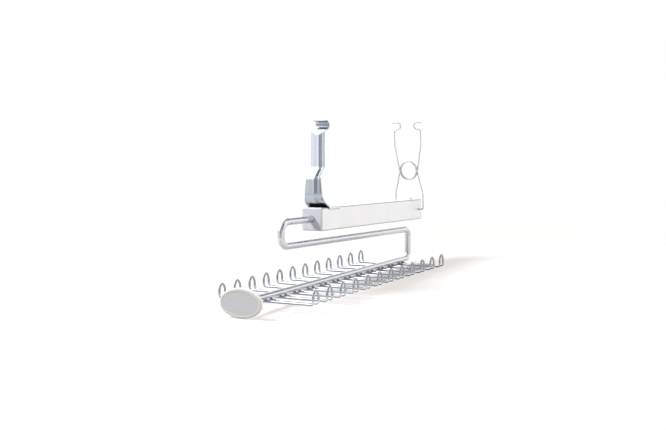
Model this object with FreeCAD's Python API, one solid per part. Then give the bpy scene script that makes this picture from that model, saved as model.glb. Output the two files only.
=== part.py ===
import FreeCAD, Part
import math
import os

# Pull-out tie rack that hangs under a wire shelf. Millimetres throughout.
# X runs across the rack, Y to the back and Z up.
# The pieces are laid out from the housing: y = 0 is its front face and z = 0 its top.
# They are written out with the origin on the axis of the shelf rod that the front hook holds.

# Square housing and the mouldings in its two ends
housing_width = 25.0
tube_length = 253.85
tube_wall = 1.2
tube_corner_r = 1.0
cap_flange = 1.6
cap_corner_r = 1.8
cap_edge_r = 1.5
cap_seam = 0.35
cap_seam_depth = 0.6
cap_plug_depth = 12.0
plug_flange = 1.5
plug_edge_r = 0.5
rear_plug_depth = 16.0
plug_gap = 0.05

# Sliding rod that folds back under the housing and ends as the rack's spine
rod_dia = 7.5
rod_gap = 0.05
front_reach = 62.1
front_low_bend_r = 10.0
front_straight = 3.5
middle_drop = 25.5
rear_setback = 243.1
rear_bend_r = 8.0
spine_drop = 37.1
spine_droop_deg = 1.85

# Slider block on the rod's inner end
slider_length = 30.0
slider_gap = 0.25
slider_pin_dia = 2.5
slider_edge = 0.6
seat_gap = 0.02
push_in_travel = 45.0
stop_gap = 0.5

# Wire loops welded under the spine, which the ties hang on
loop_count = 12
loop_pitch = 28.13
loop_wire_dia = 2.5
loop_half_span = 56.4
loop_leg_spacing = 10.2
loop_upright = 2.8
loop_bend_r = 3.0
loop_shoulder_r = 10.5
loop_shoulder_deg = 40.0
loop_tip_r = 3.4
loop_weld_bite = 0.15
first_loop_inset = 47.8
last_loop_inset = 21.8

# Oval cap on the spine's front end
oval_width = 50.0
oval_height = 30.4
oval_thickness = 3.8
oval_front_edge_r = 1.5
oval_back_edge_r = 1.0
oval_rim = 3.2
oval_pocket_depth = 1.2
oval_face_thickness = 1.1
oval_face_gap = 0.08
oval_socket_depth = 1.4
oval_boss_dia = 12.0
oval_boss_length = 6.0

# Front bracket: one strip of sheet with a saddle foot, a forward kink and a rolled hook
sheet = 1.2
strap_low_setback = 4.2
strap_foot_bend_r = 15.0
strap_kink_height = 31.9
strap_kink_rise = 10.5
strap_kink_setback = 10.1
strap_kink_r = 6.0
strap_high_length = 42.4
strap_high_width = 16.4
strap_neck_width = 13.0
strap_low_top_width = 17.7
strap_low_width = 21.4
strap_flare_height = 13.0
strap_step = 0.8
hook_inner_r = 4.2
hook_bend_r = 3.8
hook_setback = 5.3
hook_lip = 0.8
rib_width = 9.8
rib_crest_width = 4.4
rib_height = 1.1
rib_crest_r = 4.0
rib_end_run = 1.4
rib_end_inset = 0.2
rib_low_angle_deg = 48.0
saddle_start = 15.3
saddle_length = 26.0
saddle_lip = 2.0
saddle_gap = 0.05

# Rivets: two in the saddle and one in the rear plug
rivet_shank_dia = 3.2
rivet_gap = 0.03
rivet_pitch = 10.0
rivet_rear_inset = 6.0
flat_head_dia = 5.6
flat_head_height = 0.5
round_head_dia = 5.0
round_head_height = 1.4
rivet_tail_dia = 4.6
rivet_tail_height = 1.6
rivet_tail_room = 0.6
plug_rivet_inset = 5.0
plug_rivet_depth = 7.0

# Spring-wire clip at the rear, pivoted in the housing's side walls
clip_wire_dia = 1.7
clip_pivot_inset = 7.0
clip_pivot_gap = 0.05
clip_pin_depth = 4.0
clip_side_room = 5.6
clip_pin_bend_r = 2.6
clip_leg_upright = 20.0
clip_knee_r = 14.0
clip_coil_height = 49.6
clip_coil_dia = 23.0
clip_turn_gap = 0.2
clip_turn_end_deg = 60.0
clip_arm_spread = 34.6
clip_arm_knee_height = 82.0
clip_hook_height = 100.2
clip_hook_rise = 1.8
clip_hook_straight = 1.0
clip_hook_corner_r = 2.4
clip_hook_r = 4.25
clip_seat_spacing = 25.4
clip_tip_reach = 7.0
clip_lean_deg = 4.7

# Places worked out from the sizes above
rod_r = rod_dia / 2
tube_bore = housing_width - 2 * tube_wall
tube_front = cap_flange + cap_seam
tube_rear = tube_front + tube_length
rod_z = -housing_width / 2
middle_z = rod_z - middle_drop
spine_z = middle_z - spine_drop
front_top_bend_r = middle_drop - front_low_bend_r - front_straight
slider_rear = tube_rear - rear_plug_depth - stop_gap - push_in_travel
slider_front = slider_rear - slider_length
loop_run = (loop_count - 1) * loop_pitch
loop_low = loop_weld_bite - rod_r - loop_wire_dia / 2
loop_shoulder_turn = math.radians(loop_shoulder_deg)
loop_tip_half = loop_tip_r * math.tan((math.pi / 2 - loop_shoulder_turn) / 2)
loop_shoulder = (loop_low + loop_bend_r + loop_upright
                 + loop_shoulder_r * math.tan(loop_shoulder_turn / 2))
loop_high = loop_shoulder + (loop_leg_spacing / 2 - loop_tip_half) / math.tan(loop_shoulder_turn)
spine_length = last_loop_inset + loop_run + first_loop_inset
rivet_tail_drop = tube_wall + rivet_tail_height
strap_high_setback = strap_low_setback + strap_kink_setback
strap_kink_top = strap_kink_height + strap_kink_rise
hook_r = hook_inner_r + sheet / 2
hook_bottom = strap_kink_top + strap_high_length
hook_top = hook_bottom + 2 * hook_r
hook_y = strap_high_setback + hook_setback
hook_z = hook_bottom + hook_r
saddle_rear = saddle_start + saddle_length
clip_wire_r = clip_wire_dia / 2
clip_coil_r = clip_coil_dia / 2
clip_pivot_y = tube_rear - clip_pivot_inset
clip_leg_x = housing_width / 2 + clip_side_room + clip_wire_r
clip_arm_x = clip_arm_spread / 2
clip_turn_step = clip_wire_dia + clip_turn_gap

ORIGIN = FreeCAD.Vector(0, hook_y, hook_z)
CROSS = FreeCAD.Vector(1, 0, 0)
BACK = FreeCAD.Vector(0, 1, 0)
UP = FreeCAD.Vector(0, 0, 1)
NO_LENGTH = 1e-6


def point(x, y, z):
    return FreeCAD.Vector(x, y, z)


def bent_path(corners, radii, first_edges=()):
    """Open path of straight runs, with a tangent arc of its own radius at each inner corner."""
    edges = list(first_edges)
    run_start = corners[0]
    for before, corner, after, radius in zip(corners, corners[1:], corners[2:], radii):
        towards = (before - corner).normalize()
        away = (after - corner).normalize()
        half_turn = (math.pi - towards.getAngle(away)) / 2
        inward = (towards + away).normalize()
        arc_start = corner + towards * (radius * math.tan(half_turn))
        arc_end = corner + away * (radius * math.tan(half_turn))
        arc_middle = corner + inward * (radius / math.cos(half_turn) - radius)
        if run_start.distanceToPoint(arc_start) > NO_LENGTH:
            edges.append(Part.LineSegment(run_start, arc_start).toShape())
        edges.append(Part.Arc(arc_start, arc_middle, arc_end).toShape())
        run_start = arc_end
    edges.append(Part.LineSegment(run_start, corners[-1]).toShape())
    return Part.Wire(edges)


def path_start(path):
    """First point of a path and its direction there."""
    edge = path.Edges[0]
    return edge.valueAt(edge.FirstParameter), edge.tangentAt(edge.FirstParameter)


def swept(section, path):
    return path.makePipeShell([section], True, False)


def round_bar(path, radius):
    """Round bar along a path."""
    start, along = path_start(path)
    return swept(Part.Wire(Part.makeCircle(radius, start, along)), path)


def both_sides(half):
    """A piece and its mirror image across the middle plane, as one solid."""
    whole = half.fuse(half.mirror(point(0, 0, 0), CROSS))
    return whole.removeSplitter()


def box(low, high):
    size = high - low
    return Part.makeBox(size.x, size.y, size.z, low)


def square_bar(width, front, rear):
    """Square bar centred on the rod, between two places along the housing."""
    half = width / 2
    return box(point(-half, front, rod_z - half), point(half, rear, rod_z + half))


def edges_along(shape, direction):
    """Straight edges that run in one direction."""
    found = []
    for edge in shape.Edges:
        ends = edge.Vertexes[-1].Point - edge.Vertexes[0].Point
        if ends.cross(direction).Length < NO_LENGTH < ends.Length:
            found.append(edge)
    return found


def edges_at(shape, direction, place):
    """Edges that lie in the plane at one place along a direction."""
    found = []
    for edge in shape.Edges:
        middle = edge.valueAt((edge.FirstParameter + edge.LastParameter) / 2)
        ends = [vertex.Point for vertex in edge.Vertexes]
        if all(abs(spot.dot(direction) - place) < NO_LENGTH for spot in ends + [middle]):
            found.append(edge)
    return found


def cross_hole(radius, y, z, x_from, x_to):
    return Part.makeCylinder(radius, x_to - x_from, point(x_from, y, z), CROSS)


def rod_hole(radius, front, rear):
    return Part.makeCylinder(radius, rear - front, point(0, front, rod_z), BACK)


def rivet_hole(y, bottom):
    """Hole for a rivet's shank, from above the housing's top down to a given depth."""
    radius = rivet_shank_dia / 2 + rivet_gap
    return Part.makeCylinder(radius, 2 * sheet - bottom, point(0, y, bottom), UP)


def saddle_rivet_places():
    rear = saddle_rear - rivet_rear_inset
    return [rear - rivet_pitch, rear]


def plug_rivet_place():
    return tube_rear - plug_rivet_inset


def rounded_square(width, front, rear, corner_r=tube_corner_r):
    """Square bar with rounded long corners."""
    bar = square_bar(width, front, rear)
    return bar.makeFillet(corner_r, edges_along(bar, BACK))


def housing_tube():
    tube = rounded_square(housing_width, tube_front, tube_rear)
    tube = tube.cut(square_bar(tube_bore, tube_front, tube_rear))
    holes = [rivet_hole(y, rod_z) for y in saddle_rivet_places() + [plug_rivet_place()]]
    pivot_r = clip_wire_r + clip_pivot_gap
    holes.append(cross_hole(pivot_r, clip_pivot_y, rod_z, -housing_width, housing_width))
    return tube.cut(holes)


def front_end_cap():
    """Rounded flange, a narrow seam before the tube, a plug inside it and the rod's bore."""
    flange = rounded_square(housing_width, 0, cap_flange, cap_corner_r)
    flange = flange.makeFillet(cap_edge_r, edges_at(flange, BACK, 0))
    seam = square_bar(housing_width - 2 * cap_seam_depth, cap_flange, tube_front)
    plug_end = tube_front + cap_plug_depth
    plug = square_bar(tube_bore - 2 * plug_gap, tube_front, plug_end)
    cap = flange.fuse([seam, plug]).cut(rod_hole(rod_r + rod_gap, 0, plug_end))
    return cap.removeSplitter()


def rear_end_plug():
    """Plug and flange in the tube's rear end, drilled for the clip's pivots and for its rivet."""
    flange = rounded_square(housing_width, tube_rear, tube_rear + plug_flange)
    flange = flange.makeFillet(plug_edge_r, edges_at(flange, BACK, tube_rear + plug_flange))
    plug = square_bar(tube_bore - 2 * plug_gap, tube_rear - rear_plug_depth, tube_rear)
    pivot_r = clip_wire_r + clip_pivot_gap
    reach = tube_wall + clip_pin_depth
    half = housing_width / 2
    holes = [cross_hole(pivot_r, clip_pivot_y, rod_z, -half, reach - half),
             cross_hole(pivot_r, clip_pivot_y, rod_z, half - reach, half),
             rivet_hole(plug_rivet_place(), -tube_wall - plug_rivet_depth)]
    return flange.fuse(plug).cut(holes).removeSplitter()


def rivet_shank(y, top, bottom):
    return Part.makeCylinder(rivet_shank_dia / 2, top - bottom, point(0, y, bottom), UP)


def bracket_rivets():
    """Two flat-headed rivets through the saddle and the tube's top wall."""
    rivets = []
    for y in saddle_rivet_places():
        head = Part.makeCylinder(flat_head_dia / 2, flat_head_height, point(0, y, sheet), UP)
        tail = Part.makeCylinder(rivet_tail_dia / 2, rivet_tail_height,
                                 point(0, y, -rivet_tail_drop), UP)
        shank = rivet_shank(y, sheet, -tube_wall)
        rivets.append(head.fuse([shank, tail]).removeSplitter())
    return Part.makeCompound(rivets)


def rear_plug_rivet():
    """Round-headed rivet through the tube's top wall into the rear plug."""
    y = plug_rivet_place()
    head_r = round_head_dia / 2
    ball_r = (head_r ** 2 + round_head_height ** 2) / (2 * round_head_height)
    ball = Part.makeSphere(ball_r, point(0, y, round_head_height - ball_r))
    head = ball.common(Part.makeCylinder(2 * head_r, 2 * ball_r, point(0, y, 0), UP))
    shank = rivet_shank(y, 0, seat_gap - tube_wall - plug_rivet_depth)
    return head.fuse(shank).removeSplitter()


def spine_place(shape, distance):
    """Moves a shape drawn about its own origin to a place along the spine, from its rear end."""
    shape.rotate(point(0, 0, 0), CROSS, spine_droop_deg)
    shape.translate(spine_point(distance))
    return shape


def spine_point(distance):
    """Point on the spine's axis. The spine droops a little towards the front."""
    droop = math.radians(spine_droop_deg)
    return point(0, rear_setback - distance * math.cos(droop), spine_z - distance * math.sin(droop))


def slide_rod():
    """Inner run, front bends, middle run, rear bends and spine, all one bent rod."""
    corners = [point(0, slider_rear, rod_z), point(0, -front_reach, rod_z),
               point(0, -front_reach, middle_z), point(0, rear_setback, middle_z),
               spine_point(0), spine_point(spine_length)]
    radii = [front_top_bend_r, front_low_bend_r, rear_bend_r, rear_bend_r]
    rod = round_bar(bent_path(corners, radii), rod_r)
    return rod.cut(slider_pin_hole())


def slider_pin_place():
    return (slider_front + slider_rear) / 2


def slider_pin_hole():
    half = housing_width / 2
    return cross_hole(slider_pin_dia / 2 + seat_gap, slider_pin_place(), rod_z, -half, half)


def slider_width():
    return tube_bore - 2 * slider_gap


def slider_block():
    """Square block with a groove along its top that passes the ends of the rivets."""
    block = square_bar(slider_width(), slider_front, slider_rear)
    ends = edges_at(block, BACK, slider_front) + edges_at(block, BACK, slider_rear)
    block = block.makeChamfer(slider_edge, ends)
    groove_half = rivet_tail_dia / 2 + rivet_tail_room
    groove_floor = -rivet_tail_drop - rivet_tail_room
    groove = box(point(-groove_half, slider_front, groove_floor),
                 point(groove_half, slider_rear, 0))
    bore = rod_hole(rod_r + seat_gap, slider_front, slider_rear)
    return block.cut([groove, bore, slider_pin_hole()])


def slider_pin():
    half = slider_width() / 2 - slider_edge
    return cross_hole(slider_pin_dia / 2, slider_pin_place(), rod_z, -half, half)


def tie_loop():
    """Closed loop of wire: two cross wires that turn up into a pointed arch at each end."""
    half = loop_leg_spacing / 2
    arch = [(-half, loop_low), (-half, loop_shoulder), (-loop_tip_half, loop_high),
            (loop_tip_half, loop_high), (half, loop_shoulder), (half, loop_low)]
    corners = [point(loop_half_span, y, z) for y, z in arch]
    corners = [point(0, -half, loop_low)] + corners + [point(0, half, loop_low)]
    path = bent_path(corners, [loop_bend_r, loop_shoulder_r, loop_tip_r,
                               loop_tip_r, loop_shoulder_r, loop_bend_r])
    return both_sides(round_bar(path, loop_wire_dia / 2))


def oval_prism(width, height, front, rear):
    """Oval plate about the spine's axis, between two places along it."""
    outline = Part.Ellipse(point(0, 0, 0), max(width, height) / 2, min(width, height) / 2)
    edge = outline.toShape()
    if height > width:
        edge.rotate(point(0, 0, 0), UP, 90)
    plate = Part.Face(Part.Wire(edge)).extrude(UP * (rear - front))
    plate.rotate(point(0, 0, 0), CROSS, 90)
    plate.translate(BACK * rear)
    return plate


def oval_front():
    """Front of the oval cap, ahead of the spine's end."""
    return oval_socket_depth - oval_thickness


def oval_pocket_floor():
    return oval_front() + oval_pocket_depth


def oval_cap_body():
    """Rounded oval plate with a pocket in front, and a boss behind that takes the spine."""
    front = oval_front()
    body = oval_prism(oval_width, oval_height, front, oval_socket_depth)
    body = body.makeFillet(oval_front_edge_r, edges_at(body, BACK, front))
    body = body.makeFillet(oval_back_edge_r, edges_at(body, BACK, oval_socket_depth))
    boss_end = oval_socket_depth + oval_boss_length
    boss = Part.makeCylinder(oval_boss_dia / 2, boss_end, point(0, 0, 0), BACK)
    pocket = oval_prism(oval_width - 2 * oval_rim, oval_height - 2 * oval_rim,
                        front - oval_thickness, oval_pocket_floor())
    socket = Part.makeCylinder(rod_r + seat_gap, boss_end, point(0, 0, 0), BACK)
    body = body.fuse(boss).cut([pocket, socket]).removeSplitter()
    return spine_place(body, spine_length)


def oval_cap_face():
    """Plain plate that fills the cap's pocket and stays a little below its rim."""
    shrink = 2 * (oval_rim + oval_face_gap)
    floor = oval_pocket_floor()
    plate = oval_prism(oval_width - shrink, oval_height - shrink, floor - oval_face_thickness, floor)
    return spine_place(plate, spine_length)


def strap_path():
    """Middle of the bracket's sheet from the rear of its foot up to the lip of its hook."""
    foot_z = sheet / 2
    hook_rear = hook_y + hook_r
    corners = [point(0, saddle_rear, foot_z), point(0, strap_low_setback, foot_z),
               point(0, strap_low_setback, strap_kink_height),
               point(0, strap_high_setback, strap_kink_top),
               point(0, strap_high_setback, hook_bottom), point(0, hook_rear, hook_bottom),
               point(0, hook_rear, hook_top), point(0, hook_y - hook_lip, hook_top)]
    radii = [strap_foot_bend_r, strap_kink_r, strap_kink_r, hook_bend_r, hook_r, hook_r]
    return bent_path(corners, radii)


def foot_bend_point(angle):
    """Point on the middle of the foot's bend, by its angle below the strap's straight run."""
    centre = point(0, strap_low_setback + strap_foot_bend_r, sheet / 2 + strap_foot_bend_r)
    return centre - (BACK * math.cos(angle) + UP * math.sin(angle)) * strap_foot_bend_r


def rib_path():
    """Middle of the sheet behind the rib, from the foot's bend up to the hook's."""
    low = math.radians(rib_low_angle_deg)
    bend = [foot_bend_point(angle) for angle in (low, low / 2, 0)]
    corners = [bend[-1], point(0, strap_low_setback, strap_kink_height),
               point(0, strap_high_setback, strap_kink_top),
               point(0, strap_high_setback, hook_bottom - hook_bend_r - rib_end_inset)]
    return bent_path(corners, [strap_kink_r, strap_kink_r], [Part.Arc(*bend).toShape()])


def rib_end(face, beyond, out):
    """Wedge to cut away, which slopes an end of the rib down to the face that it stands on."""
    slope = out * rib_height - beyond * rib_end_run
    low, high = face - slope, face + slope * 2
    corners = [low, high, high + beyond * (3 * rib_end_run), low + beyond * (3 * rib_end_run), low]
    side = Part.Face(Part.makePolygon(corners))
    side.translate(CROSS * (-rib_width / 2))
    return side.extrude(CROSS * rib_width)


def rib_form(shift):
    """Flat-topped rib along the strap's front, or with a shift of one sheet the hollow behind it."""
    path = rib_path()
    start, along = path_start(path)
    out = CROSS.cross(along)
    height = sheet / 2 - shift
    face = start + out * height
    side, crest = CROSS * (rib_width / 2), CROSS * (rib_crest_width / 2)
    top = bent_path([face - side, face - crest + out * rib_height, face + crest + out * rib_height,
                     face + side], [rib_crest_r, rib_crest_r])
    depth = out * (sheet / 2)
    under = Part.makePolygon([face + side, face + side - depth, face - side - depth, face - side])
    form = swept(Part.Wire(top.Edges + under.Edges), path)
    top_face = path.Vertexes[-1].Point - BACK * height
    return form.cut([rib_end(face, -along, out), rib_end(top_face, UP, -BACK)])


def saddle_half_width():
    return housing_width / 2 + saddle_gap + sheet


def strap_outline():
    """Front outline of the strap, as a prism through its whole depth."""
    step_low = strap_kink_height + strap_step
    step_high = strap_kink_top - strap_step
    side = [(saddle_half_width(), -sheet), (saddle_half_width(), sheet),
            (strap_low_width / 2, strap_flare_height), (strap_low_top_width / 2, strap_kink_height),
            (strap_neck_width / 2, step_low), (strap_neck_width / 2, step_high),
            (strap_high_width / 2, strap_kink_top), (strap_high_width / 2, hook_top + sheet)]
    mirrored = [(-x, z) for x, z in reversed(side)]
    corners = [point(x, -sheet, z) for x, z in side + mirrored + side[:1]]
    depth = saddle_rear + 2 * sheet
    return Part.Face(Part.makePolygon(corners)).extrude(BACK * depth)


def front_bracket():
    """Strap with its rib, hook and saddle foot, all from one sheet."""
    path = strap_path()
    start = path_start(path)[0]
    half = saddle_half_width()
    corners = [start + CROSS * x + UP * z for x, z in ((-half, -sheet / 2), (half, -sheet / 2),
                                                       (half, sheet / 2), (-half, sheet / 2))]
    strip = swept(Part.makePolygon(corners + corners[:1]), path)
    strap = strip.common(strap_outline())
    saddle = box(point(-half, saddle_start, -saddle_lip), point(half, saddle_rear, sheet))
    seat = housing_width / 2 + saddle_gap
    saddle = saddle.cut(box(point(-seat, saddle_start, -2 * saddle_lip), point(seat, saddle_rear, 0)))
    bracket = strap.fuse([rib_form(0), saddle]).cut(rib_form(sheet))
    holes = [rivet_hole(y, -saddle_lip) for y in saddle_rivet_places()]
    return bracket.cut(holes).removeSplitter()


def ring_point(angle, layer):
    """Point on the clip's coil at an angle from its right-hand side, in one layer of wire."""
    return point(clip_coil_r * math.cos(angle), layer, clip_coil_height + clip_coil_r * math.sin(angle))


def ring_arc(angle_from, angle_to, layer):
    """Part of a coil turn between two angles."""
    middle = (angle_from + angle_to) / 2
    return Part.Arc(ring_point(angle_from, layer), ring_point(middle, layer),
                    ring_point(angle_to, layer)).toShape()


def tangent_angle(x, z, side):
    """Angle at which a straight run from a point beside the coil meets it, from below or above."""
    rise = z - clip_coil_height
    return math.atan2(rise, x) + side * math.acos(clip_coil_r / math.hypot(x, rise))


def clip_place(wire):
    """Leans the clip forward about its pivots and sets it at the rear of the housing."""
    wire.rotate(point(0, 0, 0), CROSS, clip_lean_deg)
    wire.translate(point(0, clip_pivot_y, rod_z))
    return wire


def clip_base_wire():
    """Pins in the side walls, legs beside the housing and the top of the coil between them."""
    meets = tangent_angle(clip_leg_x, clip_leg_upright, 1)
    pin_end = housing_width / 2 - tube_wall - clip_pin_depth + stop_gap
    corners = [point(pin_end, 0, 0), point(clip_leg_x, 0, 0),
               point(clip_leg_x, 0, clip_leg_upright), ring_point(meets, 0)]
    leg = bent_path(corners, [clip_pin_bend_r, clip_knee_r])
    path = Part.Wire(leg.Edges + [ring_arc(meets, math.pi / 2, 0)])
    return clip_place(both_sides(round_bar(path, clip_wire_r)))


def clip_arm(layer):
    """Right-hand arm: most of a coil turn, the arm itself and an outward hook for a deck wire."""
    meets = tangent_angle(clip_arm_x, clip_arm_knee_height, -1)
    turn_end = math.radians(180 - clip_turn_end_deg) - 2 * math.pi
    hook_low = clip_hook_height + clip_hook_rise
    hook_high = hook_low + 2 * clip_hook_r
    seat_x = clip_seat_spacing / 2
    inner_x = seat_x - clip_hook_r
    corners = [ring_point(meets, layer), point(clip_arm_x, layer, clip_arm_knee_height),
               point(clip_arm_x, layer, clip_hook_height),
               point(seat_x + clip_hook_straight, layer, hook_low),
               point(inner_x, layer, hook_low), point(inner_x, layer, hook_high),
               point(seat_x + clip_tip_reach, layer, hook_high)]
    radii = [clip_knee_r, clip_hook_corner_r, clip_hook_corner_r, clip_hook_r, clip_hook_r]
    path = bent_path(corners, radii, [ring_arc(turn_end, meets, layer)])
    return round_bar(path, clip_wire_r)


def clip_right_arm():
    return clip_place(clip_arm(clip_turn_step))


def clip_left_arm():
    return clip_place(clip_arm(-clip_turn_step).mirror(point(0, 0, 0), CROSS))


def pieces():
    """Every piece of the tie rack by name, laid out from the housing."""
    made = {"housing_tube": housing_tube(), "front_end_cap": front_end_cap(),
            "rear_end_plug": rear_end_plug(), "rear_plug_rivet": rear_plug_rivet(),
            "front_bracket": front_bracket(), "bracket_rivets": bracket_rivets(),
            "slide_rod": slide_rod(), "slider_block": slider_block(), "slider_pin": slider_pin(),
            "oval_cap_body": oval_cap_body(), "oval_cap_face": oval_cap_face(),
            "clip_base_wire": clip_base_wire(), "clip_left_arm": clip_left_arm(),
            "clip_right_arm": clip_right_arm()}
    loop = tie_loop()
    for number in range(1, loop_count + 1):
        from_rear = last_loop_inset + (loop_count - number) * loop_pitch
        made[f"tie_loop_{number:02d}"] = spine_place(loop.copy(), from_rear)
    return made


def main():
    os.makedirs("parts", exist_ok=True)
    for name, shape in pieces().items():
        shape.translate(-ORIGIN)
        shape.exportStep(f"parts/{name}.step")


if __name__ == "__main__":
    main()
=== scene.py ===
"""Looks of a pull-out tie rack: the finish of every piece, the welds under its spine and its studio."""

import math

import bmesh
import bpy
from bpy.props import FloatProperty, FloatVectorProperty, IntProperty, PointerProperty
from mathutils import Matrix, Vector, noise


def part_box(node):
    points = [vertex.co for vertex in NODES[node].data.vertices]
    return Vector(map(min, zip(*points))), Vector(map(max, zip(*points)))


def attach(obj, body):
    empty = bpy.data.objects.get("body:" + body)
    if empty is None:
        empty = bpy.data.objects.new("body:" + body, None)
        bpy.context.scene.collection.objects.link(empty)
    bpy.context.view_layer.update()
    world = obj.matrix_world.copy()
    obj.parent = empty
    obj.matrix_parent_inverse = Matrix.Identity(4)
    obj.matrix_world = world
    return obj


bl_info = {
    "name": "Tie Rack Looks",
    "version": (1, 0, 0),
    "blender": (4, 5, 0),
    "location": "View3D > Sidebar > Tie Rack",
    "description": "Finishes, welds and studio of a pull-out tie rack",
    "category": "Object",
}

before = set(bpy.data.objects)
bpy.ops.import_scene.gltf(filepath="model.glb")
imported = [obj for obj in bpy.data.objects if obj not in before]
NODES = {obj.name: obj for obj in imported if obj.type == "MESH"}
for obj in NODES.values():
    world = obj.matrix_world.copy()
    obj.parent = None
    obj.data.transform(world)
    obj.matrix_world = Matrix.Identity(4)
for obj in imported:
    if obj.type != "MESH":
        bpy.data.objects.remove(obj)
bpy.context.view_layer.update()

LOOPS = sorted(name for name in NODES if name.startswith("tie_loop_"))
CLIP_WIRES = ("clip_base_wire", "clip_left_arm", "clip_right_arm")
WHITE = (1.0, 1.0, 1.0, 1.0)

# Grain sizes, edge radii and relief depths in metres
FINE_GRAIN = 0.0007
MOULD_GRAIN = 0.0009
CLOUD = 0.018
SOFT_EDGE = 0.00035
STRAP_EDGE = 0.001
WIRE_RELIEF = 0.0000006
STRAP_RELIEF = 0.000003
HOUSING_RELIEF = 0.000004
PLATE_RELIEF = 0.000005
STEEL_RELIEF = 0.000006
MOULD_RELIEF = 0.000012

# Width of a drawn-out grain as a share of its length, and the values that most of a grain lies between
DRAWN_LINES = 0.012
CLOUDY_BANDS = 0.2
GRAIN_VALUES = (0.3, 0.7)

# Height of the strap's bulge per square metre, and how lumpy a weld is
STRAP_CROWN = 5.4
WELD_LUMPS = 1.7

# Painted shade in nooks: how near other metal is, in metres, and the darkest share of the colour there
HOUSING_NOOK_SHADE = (0.005, 0.3)
PLATED_NOOK_SHADE = (0.008, 0.3)
CLIP_NOOK_SHADE = (0.004, 0.25)

# Openness at which the painted shade of a nook is darkest and at which it ends
NOOK_SHADE_OPENNESS = (0.35, 0.85)

# Painted shade along the housing's long corners: where it begins and is full, in metres from its faces, and
# its share
CORNER_SHADE_BAND = (0.0013, 0.0004)
CORNER_SHADE_SHARE = 0.32

# Painted light and shade by height: each stop is a part of the piece's own height and the share of its
# colour there
# The strap's stops paint reflections: a bright foot, a paler upper sheet and dark bands in the hook
STRAP_PAINTED_LIGHT = ((0.0, 1.0), (0.035, 1.0), (0.05, 0.61), (0.17, 0.61), (0.21, 0.65), (0.35, 0.65),
                (0.46, 0.9), (0.86, 0.9), (0.9, 0.68), (0.925, 0.68), (0.935, 0.42), (0.955, 0.42),
                (0.965, 0.8), (0.98, 0.8), (1.0, 0.6))
# The loops' stops paint shade on the undersides of the cross wires and darker reflections on the uprights
LOOP_PAINTED_SHADE = ((0.0, 0.4), (0.085, 0.5), (0.125, 1.0), (0.2, 1.0), (0.36, 0.58), (1.0, 0.58))

# Rays that look for edges and for nooks to paint shade in
EDGE_SAMPLES = 6
NOOK_SHADE_SAMPLES = 8

# Colour sockets of a mix node, which share their names with its other sockets
MIX_FIRST = 6
MIX_SECOND = 7
MIX_RESULT = 2

# The photograph's width in pixels, and the sensor in millimetres that its lens is given for
PHOTO_WIDTH = 666
SENSOR_WIDTH = 36.0
PHOTO_FOCAL_PIXELS = 1078.8

# Lamps: azimuth and elevation in degrees, then distance and width in metres
KEY_LAMP = (-60.0, 45.0, 1.5, 0.5)
SIDE_LAMP = (100.0, 25.0, 1.6, 1.2)

# Distances from the floor's middle between which it fades into white, and the number of its sides
FLOOR_FADE = (0.28, 0.75)
FLOOR_SIDES = 64

# What bright metal shows: a pale sweep low down, a dim room above it and softboxes. Each stop is an azimuth
# in degrees, or a height as the sine of its elevation, and a value there
ROOM_RADIUS = 2.4
ROOM_DIVISIONS = 4
SWEEP_TOPS = ((-180.0, 0.33), (-152.0, 0.33), (-140.0, 0.2), (135.0, 0.2), (150.0, 0.33), (180.0, 0.33))
SWEEP_FADE = 0.2
SWEEP_SHADES = ((-180.0, 1.0), (-145.0, 0.95), (-105.0, 0.6), (-84.0, 0.55), (-78.0, 0.95), (-68.0, 0.95),
                (-62.0, 0.4), (-50.0, 0.4), (-46.0, 0.87), (-22.5, 0.87), (-20.0, 0.3), (0.0, 0.24),
                (29.0, 0.38), (50.0, 0.6), (75.0, 0.85), (100.0, 1.0), (180.0, 1.0))
SOFTBOX_SIDES = ((-180.0, 0.0), (-156.0, 0.0), (-142.0, 1.0), (-34.0, 1.0), (-20.0, 0.14), (40.0, 0.14),
                 (60.0, 0.0), (88.0, 0.0), (100.0, 0.5), (140.0, 0.5), (152.0, 0.0), (180.0, 0.0))
SOFTBOX_HEIGHTS = ((0.0, 0.0), (0.2, 0.0), (0.32, 1.0), (0.92, 1.0), (0.97, 0.0), (1.0, 0.0))


def colour(name, description, default):
    """A colour that a user can change."""
    return FloatVectorProperty(name=name, description=description, default=default,
                               subtype="COLOR", size=3, min=0.0, max=1.0)


def length(name, description, default):
    """A length in metres that a user can change."""
    return FloatProperty(name=name, description=description, default=default,
                         min=0.0, unit="LENGTH", precision=5)


def angle(name, description, degrees):
    """An angle that a user can change."""
    return FloatProperty(name=name, description=description, default=math.radians(degrees),
                         subtype="ANGLE")


def power(name, description, watts):
    """A lamp's power that a user can change."""
    return FloatProperty(name=name, description=description, default=watts, min=0.0, unit="POWER")


def brightness(name, description, default):
    """A strength of light that a user can change."""
    return FloatProperty(name=name, description=description, default=default, min=0.0)


class TieRackColours(bpy.types.PropertyGroup):
    """Colours of the rack's finishes."""

    housing: colour("Housing", "Satin metal of the square housing", (0.82, 0.81, 0.81))
    moulding: colour("End mouldings", "Moulded cap and plug in the housing's ends", (0.67, 0.685, 0.735))
    strap: colour("Strap", "Bright plated sheet of the front bracket", (0.74, 0.785, 0.88))
    rod: colour("Rod", "Satin plated bar of the sliding rod", (0.63, 0.64, 0.67))
    loop: colour("Loops", "Bright plated wire of the tie loops", (0.68, 0.70, 0.75))
    weld: colour("Welds", "Plated metal squeezed out at the welds", (0.30, 0.30, 0.32))
    clip: colour("Clip", "Drawn spring wire of the rear clip", (0.62, 0.62, 0.63))
    rivet: colour("Rivets", "Plain steel of the rivets and the slider's pin", (0.58, 0.58, 0.60))
    handle_rim: colour("Handle rim", "Moulded body of the oval handle", (0.82, 0.80, 0.76))
    handle_plate: colour("Handle plate", "Plain plate in the oval handle", (0.68, 0.68, 0.70))
    slider: colour("Slider", "Moulded slider block inside the housing", (0.84, 0.83, 0.78))


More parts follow.
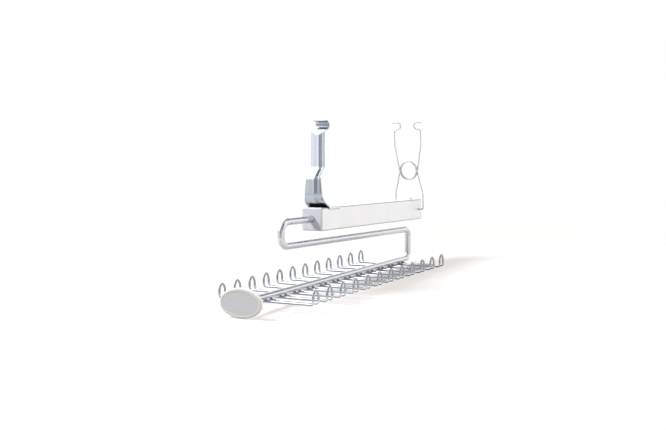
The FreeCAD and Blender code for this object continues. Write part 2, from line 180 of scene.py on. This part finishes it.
class TieRackWelds(bpy.types.PropertyGroup):
    """Sizes of the welds where the loops cross the spine."""

    across: length("Across the spine", "Half width of a weld across the spine", 0.0023)
    along: length("Along the spine", "Half width of a weld along the spine", 0.0017)
    height: length("Height", "Half height of a weld", 0.0010)
    roughness: length("Unevenness", "How far a weld's surface strays from its plain form", 0.00022)
    bend_room: length("Bend room", "Length at a loop's ends that its bends take up", 0.0040)
    divisions: IntProperty(name="Divisions", description="Fineness of a weld's surface",
                           default=3, min=2, max=5)


class TieRackStudio(bpy.types.PropertyGroup):
    """Camera, lamps, floor and reflected room of the studio."""

    camera_azimuth: angle("Azimuth", "Direction of the camera, from the rack's front to its right", 29.28)
    camera_elevation: angle("Elevation", "Height of the camera above the rack's level", 3.29)
    camera_distance: length("Distance", "From the camera to the point that it looks at", 1.17)
    camera_target: FloatVectorProperty(name="Target", description="Point that the camera looks at",
                                       default=(0.0192, -0.0065, -0.0976), subtype="TRANSLATION", size=3)
    key_power: power("Key", "Lamp at the upper left that throws the shadows", 34.0)
    side_power: power("Side", "Wide lamp at the right", 22.0)
    surround: brightness("Surround", "Strength of the light from all around", 0.24)
    sweep: brightness("Sweep", "Brightness of the pale sweep that bright metal shows", 1.35)
    room: colour("Room", "Dim room above the sweep, as bright metal shows it", (0.25, 0.25, 0.26))
    softboxes: brightness("Softboxes", "Brightness of the softboxes that bright metal shows", 2.4)
    floor: colour("Floor", "Lit colour of the floor", (0.33, 0.37, 0.39))
    floor_glow: colour("Floor glow", "Light that the floor adds towards the camera", (0.59, 0.53, 0.495))
    floor_bounce: colour("Floor bounce", "Colour of the light that the floor throws up", (0.42, 0.42, 0.415))
    floor_radius: length("Floor radius", "Half width of the floor", 3.0)


class Wiring:
    """Shader nodes being put together, with short ways to add to them."""

    def __init__(self, owner, bare=False):
        owner.use_nodes = True
        self.tree = owner.node_tree
        if bare:
            self.tree.nodes.clear()

    def feed(self, socket, value):
        """Links a socket to another, or sets its constant."""
        if isinstance(value, bpy.types.NodeSocket):
            self.tree.links.new(value, socket)
        else:
            socket.default_value = value

    def add(self, kind, inputs=None, **attributes):
        """Adds a node, sets its attributes and feeds its inputs."""
        node = self.tree.nodes.new(kind)
        for name, value in attributes.items():
            setattr(node, name, value)
        for name, value in (inputs or {}).items():
            self.feed(node.inputs[name], value)
        return node

    def work_out(self, operation, *values):
        """Result of one step of arithmetic."""
        return self.add("ShaderNodeMath", dict(enumerate(values)), operation=operation).outputs["Value"]

    def remap(self, source, span, ends, **attributes):
        """Turns a value within a span into one between two ends."""
        inputs = {"Value": source, "From Min": span[0], "From Max": span[1],
                  "To Min": ends[0], "To Max": ends[1]}
        return self.add("ShaderNodeMapRange", inputs, **attributes).outputs["Result"]

    def greys(self, source, stops):
        """Runs a value through grey stops, each a place from nought to one and a shade."""
        ramp = self.add("ShaderNodeValToRGB", {"Fac": source})
        elements = ramp.color_ramp.elements
        elements.remove(elements[1])
        for number, (place, shade) in enumerate(stops):
            element = elements[0] if number == 0 else elements.new(place)
            element.position = place
            element.color = (shade, shade, shade, 1.0)
        return ramp.outputs["Color"]

    def matt(self, tint):
        """Matt surface of one colour."""
        return self.add("ShaderNodeBsdfDiffuse", {"Color": (*tint, 1.0)}).outputs["BSDF"]

    def glow(self, tint, strength=1.0):
        """Surface that gives off light."""
        return self.add("ShaderNodeEmission", {"Color": tint, "Strength": strength}).outputs["Emission"]

    def blend(self, share, first, second):
        """Goes from a first surface to a second as a share grows from nought to one."""
        return self.add("ShaderNodeMixShader", {"Fac": share, 1: first, 2: second}).outputs["Shader"]

    def seen_rays(self):
        """One for rays from the camera, or from gloss or glass, and nought for the rest."""
        path = self.add("ShaderNodeLightPath").outputs
        seen = path["Is Camera Ray"]
        for name in ("Is Glossy Ray", "Is Transmission Ray"):
            seen = self.work_out("MAXIMUM", seen, path[name])
        return seen


class Finish(Wiring):
    """A piece's material being put together, with what a maker does to its surface."""

    def __init__(self, name, base, metallic, roughness):
        self.material = bpy.data.materials.new(name)
        super().__init__(self.material)
        self.shader = self.tree.nodes["Principled BSDF"]
        self.feed(self.shader.inputs["Base Color"], (*base, 1.0))
        self.feed(self.shader.inputs["Metallic"], metallic)
        self.feed(self.shader.inputs["Roughness"], roughness)
        self.place = self.add("ShaderNodeTexCoord").outputs["Object"]
        self.normal = None

    def grain(self, size, stretch=(1.0, 1.0, 1.0), detail=3.0):
        """Noise of one grain size. A stretch below one draws the grains out along that axis."""
        scale = tuple(share / size for share in stretch)
        spread = self.add("ShaderNodeMapping", {"Vector": self.place, "Scale": scale}).outputs["Vector"]
        grains = self.add("ShaderNodeTexNoise", {"Vector": spread, "Scale": 1.0, "Detail": detail})
        return grains.outputs["Fac"]

    def vary_roughness(self, source, swing):
        """Swings the roughness by this much about its set value along a grain."""
        socket = self.shader.inputs["Roughness"]
        middle = socket.default_value
        self.feed(socket, self.remap(source, GRAIN_VALUES, (middle - swing, middle + swing)))

    def vary_colour(self, source, dark, light):
        """Runs the base colour between a darker and a lighter share of itself along a grain."""
        socket = self.shader.inputs["Base Color"]
        base = socket.default_value[:3]
        ramp = self.add("ShaderNodeValToRGB", {"Fac": self.remap(source, GRAIN_VALUES, (0.0, 1.0))})
        for element, share in zip(ramp.color_ramp.elements, (dark, light)):
            element.color = (*(min(1.0, part * share) for part in base), 1.0)
        self.feed(socket, ramp.outputs["Color"])

    def multiply_colour(self, share):
        """Darkens the base colour by a share that varies over the surface."""
        socket = self.shader.inputs["Base Color"]
        base = socket.links[0].from_socket if socket.links else tuple(socket.default_value)
        inputs = {"Factor": 1.0, MIX_FIRST: base, MIX_SECOND: share}
        mix = self.add("ShaderNodeMix", inputs, data_type="RGBA", blend_type="MULTIPLY")
        self.feed(socket, mix.outputs[MIX_RESULT])

    def paint_nook_shade(self, reach, darkest):
        """Paints shade into the base colour where other metal closes in on the surface."""
        occlusion = self.add("ShaderNodeAmbientOcclusion", {"Distance": reach}, samples=NOOK_SHADE_SAMPLES)
        self.multiply_colour(self.remap(occlusion.outputs["AO"], NOOK_SHADE_OPENNESS, (darkest, 1.0)))

    def paint_light_by_height(self, stops):
        """Paints light and shade into the colour by shares at heights that are given as parts of the piece's
        own.
        """
        within = self.add("ShaderNodeTexCoord").outputs["Generated"]
        height = self.add("ShaderNodeSeparateXYZ", {"Vector": within}).outputs["Z"]
        self.multiply_colour(self.greys(height, stops))

    def paint_corner_shade(self, half, middle, band, share):
        """Paints shade along the long corners of a square bar that lies along Y, down to a darker share."""
        place = self.add("ShaderNodeSeparateXYZ", {"Vector": self.place}).outputs
        across = self.work_out("ABSOLUTE", place["X"])
        up = self.work_out("ABSOLUTE", self.work_out("SUBTRACT", place["Z"], middle))
        near = self.work_out("MINIMUM", across, up)
        self.multiply_colour(self.remap(near, (half - band[0], half - band[1]), (1.0, share)))

    def shape_normal(self, normal):
        """Makes the shader take its light from this normal."""
        self.normal = normal
        self.feed(self.shader.inputs["Normal"], normal)

    def soften_edges(self, radius=SOFT_EDGE):
        """Rounds the look of sharp edges."""
        bevel = self.add("ShaderNodeBevel", {"Radius": radius}, samples=EDGE_SAMPLES)
        self.shape_normal(bevel.outputs["Normal"])

    def relief(self, source, depth):
        """Raises a grain from the surface by a real depth, over the relief that is there already."""
        bump = self.add("ShaderNodeBump", {"Height": source, "Distance": depth, "Strength": 1.0})
        if self.normal is not None:
            self.feed(bump.inputs["Normal"], self.normal)
        self.shape_normal(bump.outputs["Normal"])

    def crown(self, bulge):
        """Bulges a sheet a little across its width, by a height of this much per square metre."""
        across = self.add("ShaderNodeSeparateXYZ", {"Vector": self.place}).outputs["X"]
        self.relief(self.work_out("MULTIPLY", across, across), -bulge)


def satin_housing(colours):
    """Drawn tube with fine lines along its length and faint cloudy bands across it."""
    finish = Finish("satin_housing", colours.housing, metallic=0.7, roughness=0.38)
    lines = finish.grain(FINE_GRAIN, (1.0, DRAWN_LINES, 1.0))
    bands = finish.grain(CLOUD, (CLOUDY_BANDS, 1.0, CLOUDY_BANDS), detail=1.0)
    finish.vary_colour(bands, dark=0.97, light=1.0)
    # Painted shade along the tube's long corners
    low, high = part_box("housing_tube")
    finish.paint_corner_shade(high.x, (low.z + high.z) / 2, CORNER_SHADE_BAND, CORNER_SHADE_SHARE)
    # Painted shade where other metal closes in on the tube
    finish.paint_nook_shade(*HOUSING_NOOK_SHADE)
    finish.vary_roughness(lines, swing=0.06)
    finish.soften_edges()
    finish.relief(lines, HOUSING_RELIEF)
    return finish.material


def moulded(name, base, roughness):
    """Moulded plastic with a fine grain and a soft mottle."""
    finish = Finish(name, base, metallic=0.0, roughness=roughness)
    skin = finish.grain(MOULD_GRAIN)
    mottle = finish.grain(CLOUD / 2, detail=2.0)
    finish.vary_colour(mottle, dark=0.96, light=1.03)
    finish.vary_roughness(skin, swing=0.06)
    finish.soften_edges()
    finish.relief(skin, MOULD_RELIEF)
    return finish.material


def plated_strap(colours):
    """Bright plated sheet with rolling streaks along the strap."""
    finish = Finish("plated_strap", colours.strap, metallic=1.0, roughness=0.17)
    streaks = finish.grain(FINE_GRAIN * 3, (1.0, 1.0, DRAWN_LINES * 2))
    clouds = finish.grain(CLOUD / 3)
    finish.vary_colour(streaks, dark=0.94, light=1.02)
    # Painted reflections and shade on the strap by height
    finish.paint_light_by_height(STRAP_PAINTED_LIGHT)
    # Painted shade where other metal closes in on the strap
    finish.paint_nook_shade(*PLATED_NOOK_SHADE)
    finish.vary_roughness(clouds, swing=0.05)
    finish.soften_edges(STRAP_EDGE)
    finish.crown(STRAP_CROWN)
    finish.relief(streaks, STRAP_RELIEF)
    return finish.material


def plated_rod(colours):
    """Satin plated bar: soft clouds in its gloss and a fine skin."""
    finish = Finish("plated_rod", colours.rod, metallic=1.0, roughness=0.24)
    clouds = finish.grain(CLOUD / 4)
    finish.vary_colour(clouds, dark=0.96, light=1.02)
    finish.vary_roughness(clouds, swing=0.04)
    finish.relief(finish.grain(FINE_GRAIN), WIRE_RELIEF)
    return finish.material


def spring_wire(colours):
    """Drawn spring wire, with painted shade where its turns and its pivots lie close to other metal."""
    finish = Finish("spring_wire", colours.clip, metallic=0.6, roughness=0.41)
    clouds = finish.grain(CLOUD / 4)
    finish.vary_colour(clouds, dark=0.96, light=1.02)
    # Painted shade where other metal closes in on the wire
    finish.paint_nook_shade(*CLIP_NOOK_SHADE)
    finish.vary_roughness(clouds, swing=0.05)
    finish.relief(finish.grain(FINE_GRAIN), WIRE_RELIEF)
    return finish.material


def plated_wire(colours):
    """Bright plated wire, with painted shade where it passes under the spine and under its cross wires, and
    painted darker reflections on its uprights.
    """
    finish = Finish("plated_wire", colours.loop, metallic=1.0, roughness=0.16)
    clouds = finish.grain(CLOUD / 4)
    finish.vary_colour(clouds, dark=0.95, light=1.03)
    # Painted shade under the cross wires and painted darker reflections on the uprights, by height
    finish.paint_light_by_height(LOOP_PAINTED_SHADE)
    # Painted shade where other metal closes in on the wire
    finish.paint_nook_shade(*PLATED_NOOK_SHADE)
    finish.vary_roughness(clouds, swing=0.04)
    finish.relief(finish.grain(FINE_GRAIN), WIRE_RELIEF)
    return finish.material


def plain_steel(name, base, roughness):
    """Plain steel, worn unevenly."""
    finish = Finish(name, base, metallic=1.0, roughness=roughness)
    wear = finish.grain(CLOUD / 8)
    finish.vary_colour(wear, dark=0.9, light=1.05)
    finish.vary_roughness(wear, swing=0.08)
    finish.soften_edges(SOFT_EDGE / 2)
    finish.relief(finish.grain(FINE_GRAIN), STEEL_RELIEF)
    return finish.material


def satin_plate(colours):
    """Thin plate with faint brushed lines across the handle."""
    finish = Finish("satin_plate", colours.handle_plate, metallic=0.0, roughness=0.42)
    lines = finish.grain(FINE_GRAIN, (DRAWN_LINES, 1.0, 1.0))
    finish.vary_colour(lines, dark=0.96, light=1.03)
    finish.vary_roughness(lines, swing=0.06)
    finish.relief(lines, PLATE_RELIEF)
    return finish.material


def dress(material, *names):
    """Gives nodes of the frame one material."""
    for name in names:
        slots = NODES[name].data.materials
        slots.clear()
        slots.append(material)


def add_object(name, data):
    """Adds an object with this data to the scene."""
    made = bpy.data.objects.new(name, data)
    bpy.context.scene.collection.objects.link(made)
    return made


def add_form(name, form, material):
    """Adds an object with the mesh that a form holds, and frees the form."""
    mesh = bpy.data.meshes.new(name)
    form.to_mesh(mesh)
    form.free()
    mesh.materials.append(material)
    return add_object(name, mesh)


def cross_wires(name, bend_room):
    """Middle of each of a loop's two cross wires, front one first."""
    low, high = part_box(name)
    middle = (low.y + high.y) / 2
    spots = [vertex.co for vertex in NODES[name].data.vertices]
    straight = [spot for spot in spots if abs(spot.x) < high.x - bend_room]
    front = [spot for spot in straight if spot.y < middle]
    rear = [spot for spot in straight if spot.y >= middle]
    return [sum(side, Vector()) / len(side) for side in (front, rear)]


def add_weld(beads, place, welds, seed):
    """Adds one squashed bead of weld metal to a form, uneven in its own way."""
    made = bmesh.ops.create_icosphere(beads, subdivisions=welds.divisions, radius=1.0)["verts"]
    size = Vector((welds.across, welds.along, welds.height))
    for vertex in made:
        stray = noise.noise(vertex.co * WELD_LUMPS + Vector((seed, 0.0, 0.0))) * welds.roughness
        vertex.co = place + vertex.co * size + vertex.co * stray


class TIERACK_OT_housing(bpy.types.Operator):
    """Gives the square housing its satin metal"""

    bl_idname = "tierack.housing"
    bl_label = "Housing"

    def execute(self, context):
        dress(satin_housing(context.scene.tie_rack_colours), "housing_tube")
        return {"FINISHED"}


class TIERACK_OT_mouldings(bpy.types.Operator):
    """Gives the end cap, the rear plug and the slider block their moulded plastic"""

    bl_idname = "tierack.mouldings"
    bl_label = "Mouldings"

    def execute(self, context):
        colours = context.scene.tie_rack_colours
        dress(moulded("end_moulding", colours.moulding, roughness=0.45), "front_end_cap", "rear_end_plug")
        dress(moulded("slider_moulding", colours.slider, roughness=0.5), "slider_block")
        return {"FINISHED"}


class TIERACK_OT_bracket(bpy.types.Operator):
    """Gives the front bracket its bright plating"""

    bl_idname = "tierack.bracket"
    bl_label = "Front bracket"

    def execute(self, context):
        dress(plated_strap(context.scene.tie_rack_colours), "front_bracket")
        return {"FINISHED"}


class TIERACK_OT_rivets(bpy.types.Operator):
    """Gives the rivets and the slider's pin their plain steel"""

    bl_idname = "tierack.rivets"
    bl_label = "Rivets"

    def execute(self, context):
        steel = plain_steel("rivet_steel", context.scene.tie_rack_colours.rivet, roughness=0.34)
        dress(steel, "bracket_rivets", "rear_plug_rivet", "slider_pin")
        return {"FINISHED"}


class TIERACK_OT_rod(bpy.types.Operator):
    """Gives the sliding rod its satin plating"""

    bl_idname = "tierack.rod"
    bl_label = "Sliding rod"

    def execute(self, context):
        dress(plated_rod(context.scene.tie_rack_colours), "slide_rod")
        return {"FINISHED"}


class TIERACK_OT_loops(bpy.types.Operator):
    """Gives the tie loops their bright plating"""

    bl_idname = "tierack.loops"
    bl_label = "Tie loops"

    def execute(self, context):
        dress(plated_wire(context.scene.tie_rack_colours), *LOOPS)
        return {"FINISHED"}


class TIERACK_OT_welds(bpy.types.Operator):
    """Models the welds where the loops cross the spine"""

    bl_idname = "tierack.welds"
    bl_label = "Welds"

    def execute(self, context):
        welds = context.scene.tie_rack_welds
        beads = bmesh.new()
        for number, name in enumerate(LOOPS):
            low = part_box(name)[0]
            for wire in cross_wires(name, welds.bend_room):
                wire_r = wire.z - low.z
                place = Vector((0.0, wire.y, wire.z + wire_r))
                add_weld(beads, place, welds, seed=number + wire.y)
        metal = plain_steel("weld_metal", context.scene.tie_rack_colours.weld, roughness=0.36)
        piece = add_form("loop_welds", beads, metal)
        faces = piece.data.polygons
        faces.foreach_set("use_smooth", [True] * len(faces))
        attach(piece, "rack")
        return {"FINISHED"}


class TIERACK_OT_handle(bpy.types.Operator):
    """Gives the oval handle its moulded rim and its plain plate"""

    bl_idname = "tierack.handle"
    bl_label = "Oval handle"

    def execute(self, context):
        colours = context.scene.tie_rack_colours
        dress(moulded("handle_moulding", colours.handle_rim, roughness=0.42), "oval_cap_body")
        dress(satin_plate(colours), "oval_cap_face")
        return {"FINISHED"}


class TIERACK_OT_clip(bpy.types.Operator):
    """Gives the rear clip its drawn spring wire"""

    bl_idname = "tierack.clip"
    bl_label = "Rear clip"

    def execute(self, context):
        dress(spring_wire(context.scene.tie_rack_colours), *CLIP_WIRES)
        return {"FINISHED"}


def direction(azimuth, elevation):
    """Unit vector towards a place around the rack, from its front to its right and up."""
    return Vector((math.sin(azimuth) * math.cos(elevation), -math.cos(azimuth) * math.cos(elevation),
                   math.sin(elevation)))


def face_target(thing, studio, towards, distance):
    """Puts a lamp or a camera at a distance from the target and turns it to look there."""
    thing.location = Vector(studio.camera_target) + towards * distance
    thing.rotation_mode = "QUATERNION"
    thing.rotation_quaternion = towards.to_track_quat("Z", "Y")


def add_lamp(name, studio, spot, watts):
    """Square soft lamp that faces the rack and shows in no reflection."""
    azimuth, elevation, distance, width = spot
    data = bpy.data.lights.new(name, "AREA")
    data.size = width
    data.energy = watts
    lamp = add_object(name, data)
    face_target(lamp, studio, direction(math.radians(azimuth), math.radians(elevation)), distance)
    lamp.visible_glossy = False


def add_camera(studio):
    """Camera that sees the rack as the photograph does."""
    data = bpy.data.cameras.new("photo_camera")
    data.sensor_width = SENSOR_WIDTH
    data.lens = PHOTO_FOCAL_PIXELS * SENSOR_WIDTH / PHOTO_WIDTH
    camera = add_object("photo_camera", data)
    back = direction(studio.camera_azimuth, studio.camera_elevation)
    face_target(camera, studio, back, studio.camera_distance)
    bpy.context.scene.camera = camera


def light_surround(studio):
    """World that is white to look at and lights the rack softly from all around."""
    world = bpy.data.worlds.new("white_surround")
    wiring = Wiring(world, bare=True)
    around = wiring.add("ShaderNodeBackground", {"Color": WHITE, "Strength": studio.surround})
    white = wiring.add("ShaderNodeBackground", {"Color": WHITE})
    shown = wiring.blend(wiring.seen_rays(), around.outputs["Background"], white.outputs["Background"])
    wiring.add("ShaderNodeOutputWorld", {"Surface": shown})
    bpy.context.scene.world = world


def pale_floor(studio):
    """Floor that takes the rack's shadow near it and fades into white further out."""
    material = bpy.data.materials.new("pale_floor")
    wiring = Wiring(material, bare=True)
    glow = wiring.glow((*studio.floor_glow, 1.0))
    near = wiring.add("ShaderNodeAddShader", {0: wiring.matt(studio.floor), 1: glow}).outputs["Shader"]
    place = wiring.add("ShaderNodeTexCoord").outputs["Object"]
    out = wiring.add("ShaderNodeVectorMath", {0: place}, operation="LENGTH").outputs["Value"]
    fade = wiring.remap(out, FLOOR_FADE, (0.0, 1.0), interpolation_type="SMOOTHSTEP")
    seen = wiring.blend(fade, near, wiring.glow(WHITE))
    shown = wiring.blend(wiring.seen_rays(), wiring.matt(studio.floor_bounce), seen)
    wiring.add("ShaderNodeOutputMaterial", {"Surface": shown})
    return material


def add_floor(studio):
    """Floor under the rack, which stands on the edge of its handle and on its rear loop."""
    handle_low, handle_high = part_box("oval_cap_body")
    loop_low, loop_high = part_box(LOOPS[-1])
    front = Vector((0.0, (handle_low.y + handle_high.y) / 2, handle_low.z))
    rear = Vector((0.0, (loop_low.y + loop_high.y) / 2, loop_low.z))
    disc = bmesh.new()
    bmesh.ops.create_circle(disc, cap_ends=True, segments=FLOOR_SIDES, radius=studio.floor_radius)
    floor = add_form("studio_floor", disc, pale_floor(studio))
    slope = math.atan2(rear.z - front.z, rear.y - front.y)
    floor.matrix_world = Matrix.Translation((front + rear) / 2) @ Matrix.Rotation(slope, 4, "X")


def room_finish(studio):
    """Glow of the pale sweep around the rack, of the dim room above it and of the softboxes."""
    material = bpy.data.materials.new("studio_room")
    wiring = Wiring(material, bare=True)
    place = wiring.add("ShaderNodeTexCoord").outputs["Object"]
    # A quarter turn puts the gradient's seam behind the rack and its middle in front
    quarter_turn = (0.0, 0.0, math.radians(90.0))
    turned = wiring.add("ShaderNodeMapping", {"Vector": place, "Rotation": quarter_turn}).outputs["Vector"]
    around = wiring.add("ShaderNodeTexGradient", {"Vector": turned}, gradient_type="RADIAL").outputs["Fac"]
    sight = wiring.add("ShaderNodeVectorMath", {0: place}, operation="NORMALIZE").outputs["Vector"]
    height = wiring.add("ShaderNodeSeparateXYZ", {"Vector": sight}).outputs["Z"]

    def by_azimuth(stops):
        """Shades at azimuths around the rack."""
        return wiring.greys(around, [((azimuth + 180.0) / 360.0, shade) for azimuth, shade in stops])

    sweep = wiring.glow(by_azimuth(SWEEP_SHADES), studio.sweep)
    above = wiring.work_out("SUBTRACT", height, by_azimuth(SWEEP_TOPS))
    fade = wiring.remap(above, (0.0, SWEEP_FADE), (0.0, 1.0), interpolation_type="SMOOTHSTEP")
    walls = wiring.blend(fade, sweep, wiring.glow((*studio.room, 1.0)))
    boxes = wiring.work_out("MULTIPLY", by_azimuth(SOFTBOX_SIDES), wiring.greys(height, SOFTBOX_HEIGHTS))
    shown = wiring.blend(boxes, walls, wiring.glow(WHITE, studio.softboxes))
    wiring.add("ShaderNodeOutputMaterial", {"Surface": shown})
    return material


def add_room(studio):
    """Ball around the rack that only reflections show."""
    ball = bmesh.new()
    bmesh.ops.create_icosphere(ball, subdivisions=ROOM_DIVISIONS, radius=ROOM_RADIUS)
    room = add_form("studio_room", ball, room_finish(studio))
    room.location = studio.camera_target
    room.visible_camera = False
    room.visible_diffuse = False
    room.visible_shadow = False


class TIERACK_OT_stage(bpy.types.Operator):
    """Sets up the floor, the lamps, the reflected room, the surround and the camera"""

    bl_idname = "tierack.stage"
    bl_label = "Stage"

    def execute(self, context):
        studio = context.scene.tie_rack_studio
        add_floor(studio)
        add_lamp("key_lamp", studio, KEY_LAMP, studio.key_power)
        add_lamp("side_lamp", studio, SIDE_LAMP, studio.side_power)
        add_room(studio)
        light_surround(studio)
        add_camera(studio)
        context.scene.view_settings.view_transform = "Standard"
        return {"FINISHED"}


OPERATORS = (TIERACK_OT_housing, TIERACK_OT_mouldings, TIERACK_OT_bracket, TIERACK_OT_rivets, TIERACK_OT_rod,
             TIERACK_OT_loops, TIERACK_OT_welds, TIERACK_OT_handle, TIERACK_OT_clip, TIERACK_OT_stage)


class TIERACK_PT_panel(bpy.types.Panel):
    """Shows the rack's colours and sizes, and lists the steps that dress it"""

    bl_idname = "TIERACK_PT_panel"
    bl_label = "Tie Rack"
    bl_space_type = "VIEW_3D"
    bl_region_type = "UI"
    bl_category = "Tie Rack"

    def draw(self, context):
        scene = context.scene
        for group in (scene.tie_rack_colours, scene.tie_rack_welds, scene.tie_rack_studio):
            section = self.layout.box()
            for name in group.__annotations__:
                section.prop(group, name)
        for step in OPERATORS:
            self.layout.operator(step.bl_idname)


CLASSES = (TieRackColours, TieRackWelds, TieRackStudio, *OPERATORS, TIERACK_PT_panel)


def register():
    for made in CLASSES:
        bpy.utils.register_class(made)
    bpy.types.Scene.tie_rack_colours = PointerProperty(type=TieRackColours)
    bpy.types.Scene.tie_rack_welds = PointerProperty(type=TieRackWelds)
    bpy.types.Scene.tie_rack_studio = PointerProperty(type=TieRackStudio)


def unregister():
    del bpy.types.Scene.tie_rack_studio
    del bpy.types.Scene.tie_rack_welds
    del bpy.types.Scene.tie_rack_colours
    for made in reversed(CLASSES):
        bpy.utils.unregister_class(made)


def main():
    register()
    for step in OPERATORS:
        group, name = step.bl_idname.split(".")
        getattr(getattr(bpy.ops, group), name)()


if __name__ == "__main__":
    main()
